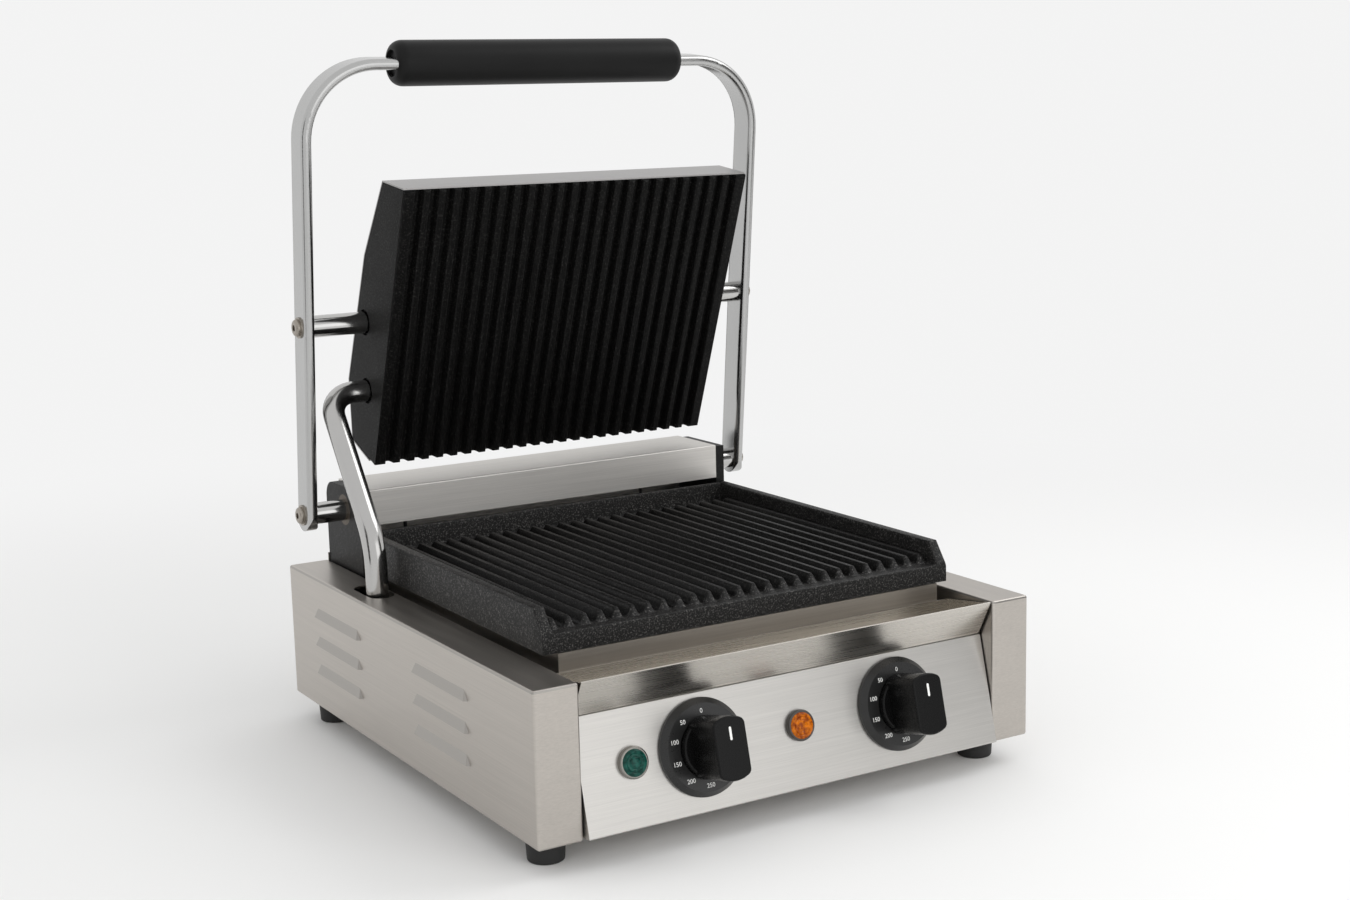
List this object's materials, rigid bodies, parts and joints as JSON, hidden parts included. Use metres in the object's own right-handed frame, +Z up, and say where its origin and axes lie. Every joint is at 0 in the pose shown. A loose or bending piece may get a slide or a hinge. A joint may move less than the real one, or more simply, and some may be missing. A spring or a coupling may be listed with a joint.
{
  "type": "panini press",
  "caption": "Commercial contact grill: ribbed cast-iron plates, hinged floating upper plate on a U-shaped handle, stainless body, drip tray and rotary controls.",
  "frame": {"origin": "on the table under the middle of the machine's overall width and depth", "axes": "+X to the right seen from the front, +Y towards the hinge at the back, +Z up"},
  "size_m": [0.4396, 0.5073, 0.5685],
  "materials": {
    "stainless_body": "brushed satin",
    "rubber": "matte",
    "zinc_steel": "plated",
    "stainless_inner": "mill",
    "cast_iron": "fine cast texture, blackened",
    "element_steel": "heat-darkened",
    "insulation": "fibre board",
    "black_steel": "satin black",
    "bronze": "machined",
    "polished_steel": "polished",
    "grip_plastic": "satin",
    "bronze_screw": "plated",
    "knob_plastic": "satin gloss",
    "white_plastic": "moulded",
    "lens_green": "translucent",
    "lens_amber": "translucent"
  },
  "bodies": {
    "base": {"side_box_left": "stainless_body", "side_box_right": "stainless_body", "feet": "rubber", "foot_screws": "zinc_steel", "foot_nuts": "zinc_steel", "bottom_plate": "stainless_inner", "body_frame": "stainless_body", "rear_panel": "stainless_body", "control_panel": "stainless_body", "lower_plate": "cast_iron", "plate_bolts": "zinc_steel", "lower_element": "element_steel", "lower_element_bars": "stainless_inner", "lower_insulation": "insulation", "hinge_post_right": "black_steel", "hinge_post_left": "black_steel", "post_bolts": "zinc_steel", "hinge_bushes": "bronze", "hinge_cover": "stainless_body", "cover_screws": "zinc_steel", "cover_nuts": "zinc_steel", "counterbalance_springs": "element_steel", "dial_ring_left": "knob_plastic", "thermostat_left": "white_plastic", "dial_ring_right": "knob_plastic", "thermostat_right": "white_plastic", "thermostat_nuts": "zinc_steel", "power_lamp_bezel": "zinc_steel", "power_lamp_lens": "lens_green", "heat_lamp_bezel": "knob_plastic", "heat_lamp_lens": "lens_amber", "lamp_bodies": "white_plastic", "cable_gland": "knob_plastic", "gland_nut": "knob_plastic", "terminal_block": "white_plastic", "internal_wires": "rubber"},
    "handle": {"handle_bar": "polished_steel", "handle_grip": "grip_plastic", "arm_screws": "bronze_screw", "arm_washers": "zinc_steel", "hinge_axle": "polished_steel", "spring_collars": "zinc_steel", "pivot_rods": "polished_steel", "pivot_clips": "zinc_steel"},
    "upper": {"upper_plate": "cast_iron", "upper_cover": "stainless_body", "upper_cover_screws": "zinc_steel", "upper_element": "element_steel", "upper_element_bars": "stainless_inner", "upper_insulation": "insulation"},
    "conduit": {"conduit_tube": "polished_steel", "conduit_collar": "zinc_steel"},
    "tray": {"drip_tray": "stainless_body"},
    "left_knob": {"knob_left": "knob_plastic", "spindle_left": "zinc_steel"},
    "right_knob": {"knob_right": "knob_plastic", "spindle_right": "zinc_steel"}
  },
  "joints": [
    {"name": "arm_close", "type": "hinge", "parent": "base", "child": "handle", "pos_m": [0, 0.19777, 0.183], "axis": [1, 0, 0], "range_deg": [0, 74.03], "stiffness_Nm_per_rad": 9, "springref_deg": -17.19},
    {"name": "plate_tip", "type": "hinge", "parent": "handle", "child": "upper", "pos_m": [0, 0.18116, 0.34103], "axis": [1, 0, 0], "range_deg": [-6, 0]},
    {"name": "conduit_swing", "type": "hinge", "parent": "upper", "child": "conduit", "pos_m": [0, 0.18366, 0.28375], "axis": [1, 0, 0], "range_deg": [-16, 0]},
    {"name": "tray_slide", "type": "slide", "parent": "base", "child": "tray", "axis": [0, -1, 0], "range_m": [0, 0.05]},
    {"name": "left_knob_turn", "type": "hinge", "parent": "base", "child": "left_knob", "pos_m": [-0.0815, -0.20757, 0.06763], "axis": [0, 0.9701, -0.2425], "range_deg": [0, 300]},
    {"name": "right_knob_turn", "type": "hinge", "parent": "base", "child": "right_knob", "pos_m": [0.0905, -0.20757, 0.06763], "axis": [0, 0.9701, -0.2425], "range_deg": [0, 300]}
  ],
  "couplings": [
    {"joint": "plate_tip", "follows": "arm_close", "ratio": -0.068486},
    {"joint": "conduit_swing", "follows": "arm_close", "ratio": -0.19008}
  ]
}
